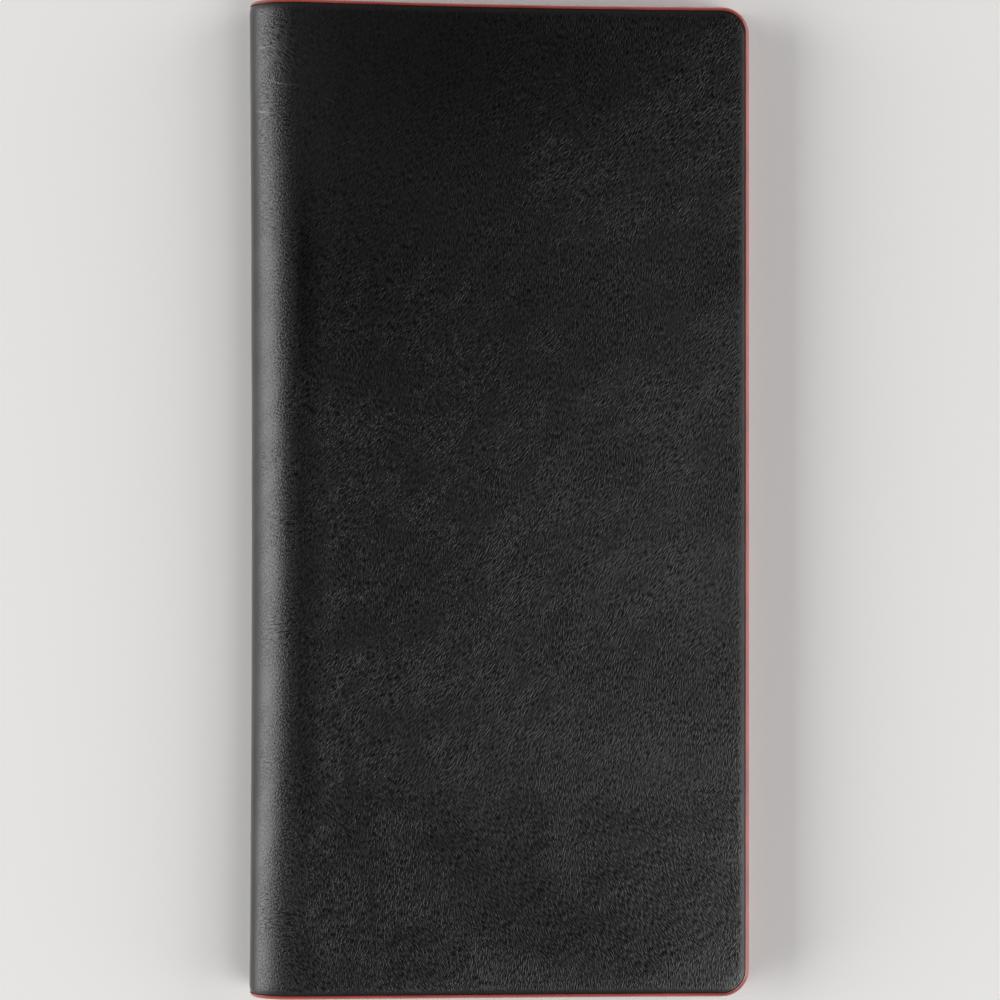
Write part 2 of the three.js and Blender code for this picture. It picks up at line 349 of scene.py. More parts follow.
def shaken(tree, moved, spot, per_mm, amount):
    """Moves points a little, by a slow noise."""
    push = slow_noise(tree, spot, per_mm).outputs["Color"]
    made = add_node(tree, "ShaderNodeVectorMath", {0: push, 1: (amount, amount, 0.0), 2: moved},
                    operation="MULTIPLY_ADD")
    return made.outputs["Vector"]


def lay(tree, spot, turn, length, width, at=(0, 0)):
    """Coordinates from a point, turned by an angle in degrees and counted in lengths and widths."""
    laid = add_node(tree, "ShaderNodeMapping", {
        "Vector": spot, "Location": (*at, 0), "Rotation": (0, 0, math.radians(turn)),
        "Scale": (length, width, 1),
    }, vector_type="TEXTURE")
    return laid.outputs["Vector"]


def creases(tree, spot, turn, width, length):
    """Short ridges, long one way and narrow across it."""
    made = add_node(tree, "ShaderNodeTexNoise", {
        "Vector": lay(tree, spot, turn, length, width), "Scale": 1.0, "Detail": 0.6, "Roughness": 0.5,
    }, noise_dimensions="2D")
    return made.outputs["Fac"]


def oval_reach(tree, spot, turn, length, width, at):
    """0 in the middle of a long oval and 1 on its outline."""
    laid = lay(tree, spot, turn, length, width, at)
    return add_node(tree, "ShaderNodeVectorMath", {0: laid}, operation="LENGTH").outputs["Value"]


def away_from(tree, spot, at):
    made = add_node(tree, "ShaderNodeVectorMath", {0: spot, 1: (*at, 0)}, operation="DISTANCE")
    return made.outputs["Value"]


def mix_values(tree, share, first, second):
    made = add_node(tree, "ShaderNodeMix", {"Factor": share, 2: first, 3: second}, data_type="FLOAT")
    return made.outputs[0]


def mix_grains(tree, share, first, second):
    """Mixes two grains and gives back the depth that unlike noises lose in a plain mix."""
    mixed = mix_values(tree, share, first, second)
    rest = minus(tree, 1.0, share)
    kept = plus(tree, times(tree, share, share), times(tree, rest, rest))
    deep = sums(tree, "DIVIDE", minus(tree, mixed, MEAN), sums(tree, "SQRT", kept, 0.0))
    return plus(tree, deep, MEAN)


# %% Places on the cover
SWAY = (0.14, 1.3)  # scale per mm, and reach in mm, of the noises that bend the creases
RIPPLE = (0.45, 0.22)
PATCH_PER_MM = 0.09
END_PARTS = (50.0, 95.0)  # along, either way from the middle: where the head and tail parts begin


def cover_places(tree):
    """Where a point of the cover lies, in millimetres of the pattern, and the masks that are shared."""
    spot = pattern_mm(tree)
    place = add_node(tree, "ShaderNodeSeparateXYZ", {0: spot})
    across = sums(tree, "ABSOLUTE", place.outputs["X"], 0.0)
    along = place.outputs["Y"]
    from_middle = sums(tree, "ABSOLUTE", along, 0.0)
    to_fore = minus(tree, cut_across / MM, across)
    to_end = minus(tree, cut_along / MM, from_middle)
    swayed = shaken(tree, spot, spot, *SWAY)
    return SimpleNamespace(
        spot=spot, across=across, along=along,
        flow=shaken(tree, swayed, spot, *RIPPLE),
        rim=sums(tree, "MINIMUM", to_fore, to_end),
        ends=band(tree, from_middle, *END_PARTS),
        patch=slow_noise(tree, spot, PATCH_PER_MM, 2.0).outputs["Fac"],
    )


# %% Grain
RISING = (57, 0.25, 1.15)  # turn in degrees, width and length of the creases
FALLING = (-57, 0.25, 1.15)
UPRIGHT = (84, 0.26, 1.05)
COARSE = (70, 0.33, 0.42)
WRINKLED = (8, 0.38, 1.2)
FANNED = (-48, 0.4, 1.3)
DRIFT_PER_MM = 0.03
RISING_SOFTNESS = 0.18  # how much of their height the rising and the upright creases lose
UPRIGHT_SOFTNESS = 0.2
TAILWARDS = (-30.0, -95.0)  # along: rising creases give way to falling ones
LEAN_DRIFT = 0.7  # how far that change wanders with the slow drift
LEAN_FADE = (0.25, 0.75)
UPRIGHT_FADE = (0.36, 0.68)  # drift: where the upright patches begin and are whole
WRINKLED_FADE = (0.45, 0.75)
WRINKLED_SHARE = 0.7
ONTO_SPINE = (15.0, 11.5)  # across: the cover's grain gives way to the spine's
FAN_AT = (13.5, 99.0)
FAN_FADE = (11.0, 3.0)
FAN_SHARE = 0.65
CREASE_RUNS = [(84, -29, 62, 19, 8), (22, -70, -50, 16, 5)]  # across, along, turn, length, width
RUN_CREASES = (0.28, 2.0)
RUN_FADE = (1.0, 0.2)
RUN_SHARE = 0.5


def cover_grain(tree, at):
    """The height of the creases, 0.5 on average, each kind where the slow masks ask for it."""
    drift = slow_noise(tree, at.spot, DRIFT_PER_MM, 2.0).outputs["Fac"]
    rising = mix_values(tree, RISING_SOFTNESS, creases(tree, at.flow, *RISING), MEAN)
    falling = creases(tree, at.flow, *FALLING)
    upright = mix_values(tree, UPRIGHT_SOFTNESS, creases(tree, at.flow, *UPRIGHT), MEAN)
    wander = times(tree, minus(tree, drift, MEAN), LEAN_DRIFT)
    lean = plus(tree, band(tree, at.along, *TAILWARDS), wander)
    grain = mix_grains(tree, band(tree, lean, *LEAN_FADE), rising, falling)
    grain = mix_grains(tree, band(tree, drift, *UPRIGHT_FADE), grain, upright)
    for across, along, turn, length, width in CREASE_RUNS:
        reach = oval_reach(tree, at.spot, turn, length, width, (across, along))
        share = times(tree, band(tree, reach, *RUN_FADE), RUN_SHARE)
        grain = mix_grains(tree, share, grain, creases(tree, at.flow, turn, *RUN_CREASES))
    coarse = creases(tree, at.flow, *COARSE)
    wrinkled = creases(tree, at.flow, *WRINKLED)
    share = times(tree, band(tree, at.patch, *WRINKLED_FADE), WRINKLED_SHARE)
    spine_grain = mix_grains(tree, share, coarse, wrinkled)
    grain = mix_grains(tree, band(tree, at.across, *ONTO_SPINE), grain, spine_grain)
    fanned = times(tree, band(tree, away_from(tree, at.spot, FAN_AT), *FAN_FADE), FAN_SHARE)
    return mix_grains(tree, fanned, grain, creases(tree, at.flow, *FANNED))


# %% [markdown]
# ## Depth and sheen of the leather
#
# The creases are deepest on the flat cover and nearly gone on the stretched flank of the spine, at
# the pressed edges and in calm streaks. By the spine a few single wrinkles stand out. The sheen is
# uneven too: dull along the fold, and in broad worn patches over the cover.

# %% Depth of the creases
GATHERED = (52, 3.0, 12.0)  # turn, width and length of the calm and lively streaks
GATHERED_SHARE = 0.4
LIVELY_FADE = (0.34, 0.6)
CALM_DEPTH = 0.38  # how much depth the calm streaks lose
FLANK = (4.5, 7.0)  # across: the spine's flank, where the creases start
FLANK_DEPTH = 0.33
FLANK_ENDS = 0.2  # and how much deeper they are there at the head and tail
FLAT = (8.0, 14.5)  # across: the turn onto the flat cover
FLAT_DEPTH = 0.86
FAR = (20.0, 34.0)  # across: away from the spine
FAR_LOSS = 0.12
PRESSED_RIM = (0.2, 1.5)  # in from the cut edges
LEAST_DEPTH = 0.04
GRAIN_DEPTH = 0.68
QUIET_AT = (18.0, 112.0)  # the calmest corner, at the head of the spine
QUIET_FADE = (75.0, 12.0)
QUIET_FROM = (10.0, 15.0)  # across: the spine itself stays lively
QUIET_DEPTH = 0.68
WRINKLES = [  # across, along, turn, half length, half width
    (12.7, 92.2, -9, 5.5, 0.35), (22.4, 88.2, -19, 2.4, 0.3), (9.2, 100.5, 4, 3.2, 0.35),
    (7.6, 85.8, -3, 2.4, 0.35), (19.3, -74.6, -46, 6.0, 0.3),
]
WRINKLE_RISE = 0.3


def cover_calm(tree, at):
    """1 where the grain is calm and 0 where it is lively."""
    gathered = creases(tree, at.flow, *GATHERED)
    streaks = mix_values(tree, GATHERED_SHARE, at.patch, gathered)
    return minus(tree, 1.0, band(tree, streaks, *LIVELY_FADE))


def cover_relief(tree, at, grain, calm):
    """The creases' height times their depth, with the single wrinkles added."""
    flank_depth = plus(tree, times(tree, at.ends, FLANK_ENDS), FLANK_DEPTH)
    on_flank = times(tree, band(tree, at.across, *FLANK), flank_depth)
    on_flat = times(tree, band(tree, at.across, *FLAT), FLAT_DEPTH)
    far_loss = times(tree, band(tree, at.across, *FAR), FAR_LOSS)
    by_place = minus(tree, plus(tree, on_flank, on_flat), far_loss)
    quiet = times(tree, band(tree, away_from(tree, at.spot, QUIET_AT), *QUIET_FADE),
                  band(tree, at.across, *QUIET_FROM))
    depth = minus(tree, 1.0, times(tree, calm, CALM_DEPTH))
    depth = times(tree, depth, by_place)
    depth = times(tree, depth, band(tree, at.rim, *PRESSED_RIM))
    depth = times(tree, depth, minus(tree, 1.0, times(tree, quiet, QUIET_DEPTH)))
    depth = plus(tree, times(tree, depth, GRAIN_DEPTH), LEAST_DEPTH)
    relief = times(tree, minus(tree, grain, MEAN), depth)
    for across, along, turn, length, width in WRINKLES:
        reach = oval_reach(tree, at.flow, turn, length, width, (across, along))
        relief = plus(tree, relief, times(tree, band(tree, reach, 1.0, 0.0), WRINKLE_RISE))
    return relief


# %% Sheen
SHEEN_PATCHES = [  # across, along, spread, change
    (52, 97, 17, -0.3), (24, 46, 16, -0.3), (80, 88, 12, -0.16), (88, 50, 16, 0.18), (104, -38, 16, -0.14),
    (68, -96, 15, -0.28), (88, -104, 12, -0.2), (42, -82, 9, -0.14), (20, -92, 20, -0.2),
]
ON_COVER = (12.5, 15.5)  # across: the patches lie on the cover only
RAGGED = 14.0  # how far the patches' outlines wander
INTO_FOLD = (12.5, 15.0)  # across: the dull strip beside the spine begins and ends
OUT_OF_FOLD = (22.0, 15.5)
FOLD_LOSS = 0.5
FOLD_ENDS = 0.4  # and how much less it loses at the head and tail
CALM_SHEEN = 0.17  # calm streaks scatter less light, and this evens them out
SHEEN = (0.26, 0.94)  # specular level in the valleys and on the ridges
SHEEN_HEIGHT = 0.12
ROUGHNESS = (0.43, 0.35)  # on the spine and on the cover
SPINE_TO_COVER = (11.0, 24.0)
HANDLED = 0.12  # the outermost part of the spine is rubbed smoother by this much
HANDLED_FADE = (5.0, 2.0)
CREASE_HEIGHT = 0.12 * MM
# Painted shade and light: the base colour is darker in the crease valleys and paler on the ridges.
SHADED_VALLEY_BLACK = (0.0007, 0.0007, 0.0008)
LIT_RIDGE_BLACK = (0.003, 0.0029, 0.003)
# Painted light: a paler black along the cut edges stands in for the light on the rolled-off edge.
PAINTED_LIGHT_RIM_BLACK = (0.012, 0.0118, 0.0118, 1)
PAINTED_LIGHT_RIM = (1.9, 0.3)  # in from the cut edges: the black is painted paler there, as painted light on the rolled-off edge


def cover_polish(tree, at, calm):
    """The share of the sheen that each place keeps."""
    folded = times(tree, band(tree, at.across, *INTO_FOLD), band(tree, at.across, *OUT_OF_FOLD))
    dulled = minus(tree, FOLD_LOSS, times(tree, at.ends, FOLD_ENDS))
    polish = minus(tree, 1.0, times(tree, folded, dulled))
    polish = plus(tree, polish, times(tree, calm, CALM_SHEEN))
    ragged = times(tree, minus(tree, at.patch, MEAN), RAGGED)
    on_cover = band(tree, at.across, *ON_COVER)
    for across, along, spread, change in SHEEN_PATCHES:
        away = plus(tree, away_from(tree, at.spot, (across, along)), ragged)
        near = times(tree, band(tree, away, 2.0 * spread, 0.0), on_cover)
        polish = plus(tree, polish, times(tree, near, change))
    return polish


def cover_leather():
    material, tree, shader = new_finish("black_cover_leather")
    at = cover_places(tree)
    grain = cover_grain(tree, at)
    calm = cover_calm(tree, at)
    relief = cover_relief(tree, at, grain, calm)
    add_bump(tree, shader, relief, CREASE_HEIGHT)
    # Painted shade in the crease valleys and painted light on the ridges, set by the crease height.
    tone = tone_ramp(tree, grain, 0.35, SHADED_VALLEY_BLACK, 0.65, LIT_RIDGE_BLACK)
    # Painted light: the base colour is mixed paler towards the cut edges, where the skin rolls off towards
    # the lights.
    painted_light_rim_tone = add_node(tree, "ShaderNodeMix", {
        "Factor": band(tree, at.rim, *PAINTED_LIGHT_RIM), "A": tone, "B": PAINTED_LIGHT_RIM_BLACK,
    }, data_type="RGBA")
    tree.links.new(painted_light_rim_tone.outputs["Result"], shader.inputs["Base Color"])
    sheen = add_node(tree, "ShaderNodeMapRange", {
        "Value": relief, "From Min": -SHEEN_HEIGHT, "From Max": SHEEN_HEIGHT,
        "To Min": SHEEN[0], "To Max": SHEEN[1],
    })
    shine = times(tree, sheen.outputs["Result"], cover_polish(tree, at, calm))
    tree.links.new(shine, shader.inputs["Specular IOR Level"])
    gloss = add_node(tree, "ShaderNodeMapRange", {
        "Value": at.across, "From Min": SPINE_TO_COVER[0], "From Max": SPINE_TO_COVER[1],
        "To Min": ROUGHNESS[0], "To Max": ROUGHNESS[1],
    })
    handled = times(tree, band(tree, at.across, *HANDLED_FADE), HANDLED)
    tree.links.new(minus(tree, gloss.outputs["Result"], handled), shader.inputs["Roughness"])
    return material


COVER_LEATHER = cover_leather()
print(COVER_LEATHER.name, len(COVER_LEATHER.node_tree.nodes), "nodes")

# %% [markdown]
# ## The other finishes
#
# The inside is thin split leather with a fine even grain and a faint mottling. Edge paint is brushed
# on in several coats, so it is glossy and a little uneven. The thread is waxed and twisted, and the
# board is pressed from grey fibres.

# %% Thin leather
def thin_leather(name, dark, light, roughness, bump_height):
    """Split leather for the lining and the pockets."""
    material, tree, shader = new_finish(name)
    spot = pattern_mm(tree)
    grain = mix_values(tree, 0.5, creases(tree, spot, 35, 0.4, 0.8), creases(tree, spot, -50, 0.4, 0.8))
    mottle = slow_noise(tree, spot, 0.2, 3.0).outputs["Fac"]
    tone = tone_ramp(tree, mix_values(tree, 0.5, mottle, grain), 0.35, dark, 0.65, light)
    tree.links.new(tone, shader.inputs["Base Color"])
    add_bump(tree, shader, grain, bump_height)
    shader.inputs["Roughness"].default_value = roughness
    return material


POCKET_LEATHER = thin_leather("black_pocket_leather", (0.009, 0.009, 0.009), (0.02, 0.019, 0.019),
                              0.44, 0.00014)
LINING_LEATHER = thin_leather("red_lining_leather", (0.26, 0.021, 0.014), (0.37, 0.035, 0.023),
                              0.5, 0.00012)


# %% Edge paint, thread and board
def edge_paint():
    """Red paint in thin coats: faint runs, and a deeper tone where it pools."""
    material, tree, shader = new_finish("red_edge_paint")
    spot = add_node(tree, "ShaderNodeTexCoord").outputs["Object"]
    coats = add_node(tree, "ShaderNodeTexNoise", {"Vector": spot, "Scale": 90.0, "Detail": 3.0})
    tone = tone_ramp(tree, coats.outputs["Fac"], 0.35, (0.26, 0.033, 0.024), 0.68, (0.37, 0.058, 0.042))
    tree.links.new(tone, shader.inputs["Base Color"])
    ripple = add_node(tree, "ShaderNodeTexNoise", {"Vector": spot, "Scale": 700.0, "Detail": 2.0})
    add_bump(tree, shader, ripple.outputs["Fac"], 0.00008, 0.35)
    shader.inputs["Roughness"].default_value = 0.3
    shader.inputs["Specular IOR Level"].default_value = 0.7
    shader.inputs["Coat Weight"].default_value = 0.5
    shader.inputs["Coat Roughness"].default_value = 0.15
    return material


def thread_finish():
    material, tree, shader = new_finish("red_waxed_thread")
    twist = add_node(tree, "ShaderNodeTexWave", {
        "Vector": pattern_mm(tree), "Scale": 1.3, "Distortion": 0.4,
    }, bands_direction="DIAGONAL")
    tone = tone_ramp(tree, twist.outputs["Fac"], 0.0, (0.27, 0.028, 0.018), 1.0, (0.45, 0.07, 0.045))
    tree.links.new(tone, shader.inputs["Base Color"])
    add_bump(tree, shader, twist.outputs["Fac"], 0.0001, 0.6)
    shader.inputs["Roughness"].default_value = 0.55
    return material


def fibreboard():
    material, tree, shader = new_finish("grey_fibreboard")
    spot = add_node(tree, "ShaderNodeTexCoord").outputs["Object"]
    fibres = add_node(tree, "ShaderNodeTexNoise", {"Vector": spot, "Scale": 900.0, "Detail": 5.0})
    tone = tone_ramp(tree, fibres.outputs["Fac"], 0.0, (0.2, 0.17, 0.14), 1.0, (0.34, 0.3, 0.25))
    tree.links.new(tone, shader.inputs["Base Color"])
    shader.inputs["Roughness"].default_value = 0.9
    return material


EDGE_PAINT = edge_paint()
THREAD = thread_finish()
BOARD = fibreboard()
print("finishes:", [m.name for m in bpy.data.materials if m.use_nodes])

# %% [markdown]
# ## The outer leather
#
# One black skin covers the whole outside. It is not quite flat: it falls away at the cut edges,
# where the layers are pressed together, and it swells a little in between. Those slow shapes are
# real geometry, because they are what breaks up the sheen. The fine creases are left to the bump.

# %% Skin the covers
CUT_RADIUS = 5.22 * MM
EDGE_FALL = 0.3 * MM  # the skin falls by this much, within the roll's width of a cut edge
EDGE_ROLL = 1.6 * MM
UNEVEN = 0.07 * MM  # height, length and fade of its slow unevenness
UNEVEN_WAVE = 26 * MM
UNEVEN_FADE = 9 * MM
CAMBER = 0.7 * MM  # the front cover crowns by this much
SWELLS = [(62, 17, 20, 0.45), (75, 86, 16, 0.28), (78, -80, 22, 0.14)]  # across, along, spread, height
SKIN_PITCH = 1.6 * MM
FOLD_PITCH = 0.5 * MM
APEX_ROWS = [0.05 * MM, 0.13 * MM, 0.26 * MM]  # extra cuts at the middle of the spine
RIM_ROWS = [0.2 * MM, 0.45 * MM, 0.75 * MM, 1.1 * MM]  # and along the cut edges


def rim_distance(across, along):
    """How far a point of the blank lies inside the head, fore and tail edges."""
    to_fore = cut_across - across
    to_end = cut_along - abs(along)
    if to_fore < CUT_RADIUS and to_end < CUT_RADIUS:
        return CUT_RADIUS - math.hypot(CUT_RADIUS - to_fore, CUT_RADIUS - to_end)
    return min(to_fore, to_end)


def skin_relief(across, along, side):
    """How far the outer face stands above the flat blank."""
    rim = max(rim_distance(across, along), 0)
    fall = EDGE_FALL * (1 - min(rim / EDGE_ROLL, 1)) ** 2
    swell = noise.noise(Vector((side * across, along, 0)) / UNEVEN_WAVE)
    height = UNEVEN * swell * min(rim / UNEVEN_FADE, 1) - fall
    if side > 0 and across > quarter_turn:
        u = (across - quarter_turn) / (cut_across - quarter_turn)
        v = along / cut_along
        height += CAMBER * 4 * u * (1 - u) * (1 - v ** 4)
        for at_across, at_along, spread, rise in SWELLS:
            away = math.hypot(across / MM - at_across, along / MM - at_along) / spread
            height += rise * MM * math.exp(-away * away / 2) * min(rim / UNEVEN_FADE, 1)
    return height


def skin(name, side):
    bm = cut_blank((0, -cut_along), (cut_across, cut_along), CUT_RADIUS, (1, 2))
    score(bm, APEX_ROWS + steps_between(APEX_ROWS[-1], quarter_turn, FOLD_PITCH), 0)
    score(bm, [quarter_turn] + steps_between(quarter_turn, cut_across, SKIN_PITCH), 0)
    score(bm, [cut_across - row for row in RIM_ROWS], 0)
    score(bm, steps_between(-cut_along, cut_along, SKIN_PITCH), 1)
    score(bm, [sign * (cut_along - row) for row in RIM_ROWS for sign in (-1, 1)], 1)
    thicken(bm, leather_depth)
    for vert in bm.verts:
        if vert.co.z > -leather_depth / 2:
            vert.co.z += skin_relief(vert.co.x, vert.co.y, side)
    piece = finish_piece(bm, name, side, COVER_LEATHER)
    fold_with(piece, side)
    return piece


front_skin = skin("front_skin", 1)
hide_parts("front_leather", "spine_leather")
back_skin = skin("back_skin", -1)
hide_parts("back_leather", "spine_leather")

# %% [markdown]
# ## The lining and the spine's stay
#
# The red lining is the same cut as the leather, laid deeper. A thin stay between the two keeps the
# spine round. Both are rolled in the same way, so they never part from the leather.

# %% Line the inside
LINING_PITCH = 3.2 * MM
STAY_THICKNESS = 0.5 * MM


def inner_sheet(name, side, reach, depth_at, sheet_thickness, material, radius):
    """Half a sheet inside the leather, from the middle of the spine to reach."""
    rounded = (1, 2) if radius else ()
    bm = cut_blank((0, -cut_along), (reach, cut_along), radius, rounded)
    score(bm, steps_between(0, min(quarter_turn, reach), FOLD_PITCH), 0)
    if reach > quarter_turn:
        score(bm, [quarter_turn] + steps_between(quarter_turn, reach, LINING_PITCH), 0)
    score(bm, steps_between(-cut_along, cut_along, LINING_PITCH), 1)
    thicken(bm, sheet_thickness)
    for vert in bm.verts:
        vert.co.z -= depth_at(vert.co.x)
    piece = finish_piece(bm, name, side, material)
    fold_with(piece, side)
    return piece


def lining_depth_at(across):
    return lining_depth + (spine_lining_depth - lining_depth) * spine_share(across)


def stay_depth_at(across):
    return stay_depth


for side, word in ((1, "front"), (-1, "back")):
    lining = inner_sheet(f"{word}_lining_skin", side, cut_across, lining_depth_at,
                         cover_depth - lining_depth, LINING_LEATHER, CUT_RADIUS)
    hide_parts(f"{word}_lining", "spine_lining")
    stay = inner_sheet(f"spine_stay_{word}_half", side, quarter_turn, stay_depth_at,
                       STAY_THICKNESS, BOARD, 0)
    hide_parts("spine_stay")
    frame["nodes"][f"{word}_board"].data.materials.clear()
    frame["nodes"][f"{word}_board"].data.materials.append(BOARD)

# %% [markdown]
# ## The red bead
#
# The cut edges are sealed with paint, built up until it is half round. Its section is half a circle,
# squeezed to the edge's height, and spin draws it along each straight and round each corner.

# %% Draw the bead round the edges
BEAD_SIDES = 20
BEAD_PITCH = 2.5 * MM
BEAD_SUNK = 0.1 * MM  # the bead is lower than the edge by this much on each face
HALF_SNAP = 1e-6


def bead_section(bm):
    """Half a circle standing at the head edge, at the middle of the spine."""
    ring = bmesh.ops.create_circle(bm, cap_ends=False, segments=BEAD_SIDES, radius=1)
    bmesh.ops.rotate(bm, verts=ring["verts"], cent=(0, 0, 0), matrix=Matrix.Rotation(math.pi / 2, 3, "Y"))
    everything = bm.verts[:] + bm.edges[:]
    bmesh.ops.bisect_plane(bm, geom=everything, dist=HALF_SNAP, plane_co=(0, 0, 0), plane_no=(0, 1, 0),
                           clear_inner=True)
    ends = [v for v in bm.verts if len(v.link_edges) == 1]
    bm.edges.new(ends)
    height = cover_depth / 2 - BEAD_SUNK
    bmesh.ops.scale(bm, verts=bm.verts[:], vec=(1, bead_width, height))
    bmesh.ops.translate(bm, verts=bm.verts[:], vec=(0, bead_seat_along, -cover_depth / 2))
    return bm.verts[:] + bm.edges[:]


def draw_straight(bm, section, way, length, pitch):
    count = max(1, round(length / pitch))
    drawn = bmesh.ops.spin(bm, geom=section, cent=(0, 0, 0), axis=(0, 0, 1), angle=0,
                           dvec=Vector(way) * length / count, steps=count, use_duplicate=False)
    return drawn["geom_last"]


def draw_corner(bm, section, centre):
    drawn = bmesh.ops.spin(bm, geom=section, cent=centre, axis=(0, 0, 1), angle=-math.pi / 2,
                           steps=CORNER_STEPS, use_duplicate=False)
    return drawn["geom_last"]


def bead(name, side):
    bm = bmesh.new()
    centre_across = bead_seat_across - CUT_RADIUS
    centre_along = bead_seat_along - CUT_RADIUS
    section = bead_section(bm)
    section = draw_straight(bm, section, (1, 0, 0), quarter_turn, FOLD_PITCH)
    section = draw_straight(bm, section, (1, 0, 0), centre_across - quarter_turn, BEAD_PITCH)
    section = draw_corner(bm, section, (centre_across, centre_along, 0))
    section = draw_straight(bm, section, (0, -1, 0), 2 * centre_along, BEAD_PITCH)
    section = draw_corner(bm, section, (centre_across, -centre_along, 0))
    section = draw_straight(bm, section, (-1, 0, 0), centre_across - quarter_turn, BEAD_PITCH)
    draw_straight(bm, section, (-1, 0, 0), quarter_turn, FOLD_PITCH)
    bmesh.ops.holes_fill(bm, edges=[e for e in bm.edges if e.is_boundary], sides=0)
    for vert in bm.verts:
        vert.co.z *= 1 + (spine_depth / cover_depth - 1) * spine_share(vert.co.x)
    bmesh.ops.recalc_face_normals(bm, faces=bm.faces[:])
    piece = finish_piece(bm, name, side, EDGE_PAINT, sharp=60)
    fold_with(piece, side)
    return piece


for side, word in ((1, "front"), (-1, "back")):
    edge = bead(f"{word}_bead", side)
    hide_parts(f"{word}_edge_bead", "spine_head_bead", "spine_tail_bead")

# %% [markdown]
# ## Pockets
#
# Every pocket is a thin black sheet with rounded corners, painted red along its mouth and creased
# with a warm iron just inside it. The sheet bellies out a little between its seams. It is drawn with
# Z falling inwards like any blank, so its lower face is the one that shows inside the wallet.

# %% Pocket sheets
POCKET_PITCH = 4 * MM
POCKET_CORNER = 3.0 * MM
POCKET_BELLY = 0.12 * MM
MOUTH_CREASE = 1.6 * MM
CREASE_WIDTH = 0.35 * MM
CREASE_SINK = 0.1 * MM
PAINTED_RIM = 0.25 * MM
PAINTED_SHARE = 0.9  # faces whose middle lies within this share of the rim are painted

pocket_across = quarter_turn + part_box("document_pocket")[0].x - fold_x
pocket_edge = quarter_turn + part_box("document_pocket")[1].x - fold_x


def belly(across, along, tail, head):
    """0 at the seams and 1 in the middle of a pocket."""
    u = (across - pocket_across) / (pocket_edge - pocket_across)
    v = (along - tail) / (head - tail)
    return max(math.sin(math.pi * u) * math.sin(math.pi * v), 0) ** 0.5


def pocket(node, side, depth, sheet_thickness, mouth):
    """A pocket over its frame node. mouth is "spine" or "head", the side it opens to."""
    tail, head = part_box(node)[0].y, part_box(node)[1].y
    bm = cut_blank((pocket_across, tail), (pocket_edge, head), POCKET_CORNER, (0, 1, 2, 3))
    axis = 0 if mouth == "spine" else 1
    edge = pocket_across if mouth == "spine" else head
    inwards = 1 if mouth == "spine" else -1
    crease = edge + inwards * MOUTH_CREASE
    score(bm, [edge + inwards * PAINTED_RIM], axis)
    score(bm, [crease - CREASE_WIDTH, crease, crease + CREASE_WIDTH], axis)
    score(bm, steps_between(pocket_across, pocket_edge, POCKET_PITCH), 0)
    score(bm, steps_between(tail, head, POCKET_PITCH), 1)
    thicken(bm, sheet_thickness)
    for vert in bm.verts:
        sunk = CREASE_SINK if abs(vert.co[axis] - crease) < CREASE_WIDTH / 2 else 0
        shown = vert.co.z < -sheet_thickness / 2
        swell = POCKET_BELLY * belly(vert.co.x, vert.co.y, tail, head)
        vert.co.z += (sunk if shown else 0) - swell - depth
    rim = edge + inwards * PAINTED_RIM * PAINTED_SHARE
    for face in bm.faces:
        beyond = (face.calc_center_median()[axis] - rim) * inwards < 0
        face.material_index = 1 if beyond else 0
    piece = finish_piece(bm, node + "_sheet", side, POCKET_LEATHER)
    piece.data.materials.append(EDGE_PAINT)
    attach(piece, "front_cover" if side > 0 else "back_cover")
    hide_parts(node)
    return piece


# %% Lay the pockets
full_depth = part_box("document_pocket")[0].z
full_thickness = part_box("document_pocket")[1].z - full_depth
passport_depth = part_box("passport_pocket")[0].z
ease = full_depth - cover_depth
CARD_SLOTS = 4
CARD_THICKNESS = 0.5 * MM
first_card_depth = full_depth + full_thickness + ease
card_depths = [first_card_depth + slot * (ease + CARD_THICKNESS) for slot in range(CARD_SLOTS)]

pocket("document_pocket", -1, full_depth, full_thickness, "spine")
pocket("passport_pocket", -1, passport_depth, full_thickness, "head")
pocket("ticket_pocket", 1, full_depth, full_thickness, "spine")
for slot, depth in enumerate(card_depths, 1):
    pocket(f"card_slot_{slot}", 1, depth, CARD_THICKNESS, "head")

# %% [markdown]
# ## Stitching
#
# Each pocket is sewn down on three sides, through the lining but not through the outer leather. A
# stitch is a small drawn-out ball, a little skewed as a saddle stitch is, half sunk in the leather.

# %% Sew the pockets down
STITCH_PITCH = 3.0 * MM
STITCH_LENGTH = 2.5 * MM
STITCH_WIDTH = 0.55 * MM
STITCH_HEIGHT = 0.4 * MM
STITCH_SKEW = math.radians(7)
STITCH_SIDES = 8
STITCH_RINGS = 5
SEAM_INSET = 2.1 * MM


def sew_row(bm, start, end, depth):
    """A row of stitches between two points of the flat pattern, at the depth of the shown face."""
    way = Vector(end) - Vector(start)
    count = max(1, int(way.length / STITCH_PITCH))
    heading = math.atan2(way.y, way.x) + STITCH_SKEW
    for i in range(count):
        middle = Vector(start) + way * (i + 0.5) / count
        shape = Matrix.Diagonal((STITCH_LENGTH / 2, STITCH_WIDTH / 2, STITCH_HEIGHT / 2, 1))
        place = Matrix.Translation((middle.x, middle.y, -depth)) @ Matrix.Rotation(heading, 4, "Z")
        bmesh.ops.create_uvsphere(bm, u_segments=STITCH_SIDES, v_segments=STITCH_RINGS, radius=1,
                                  matrix=place @ shape)


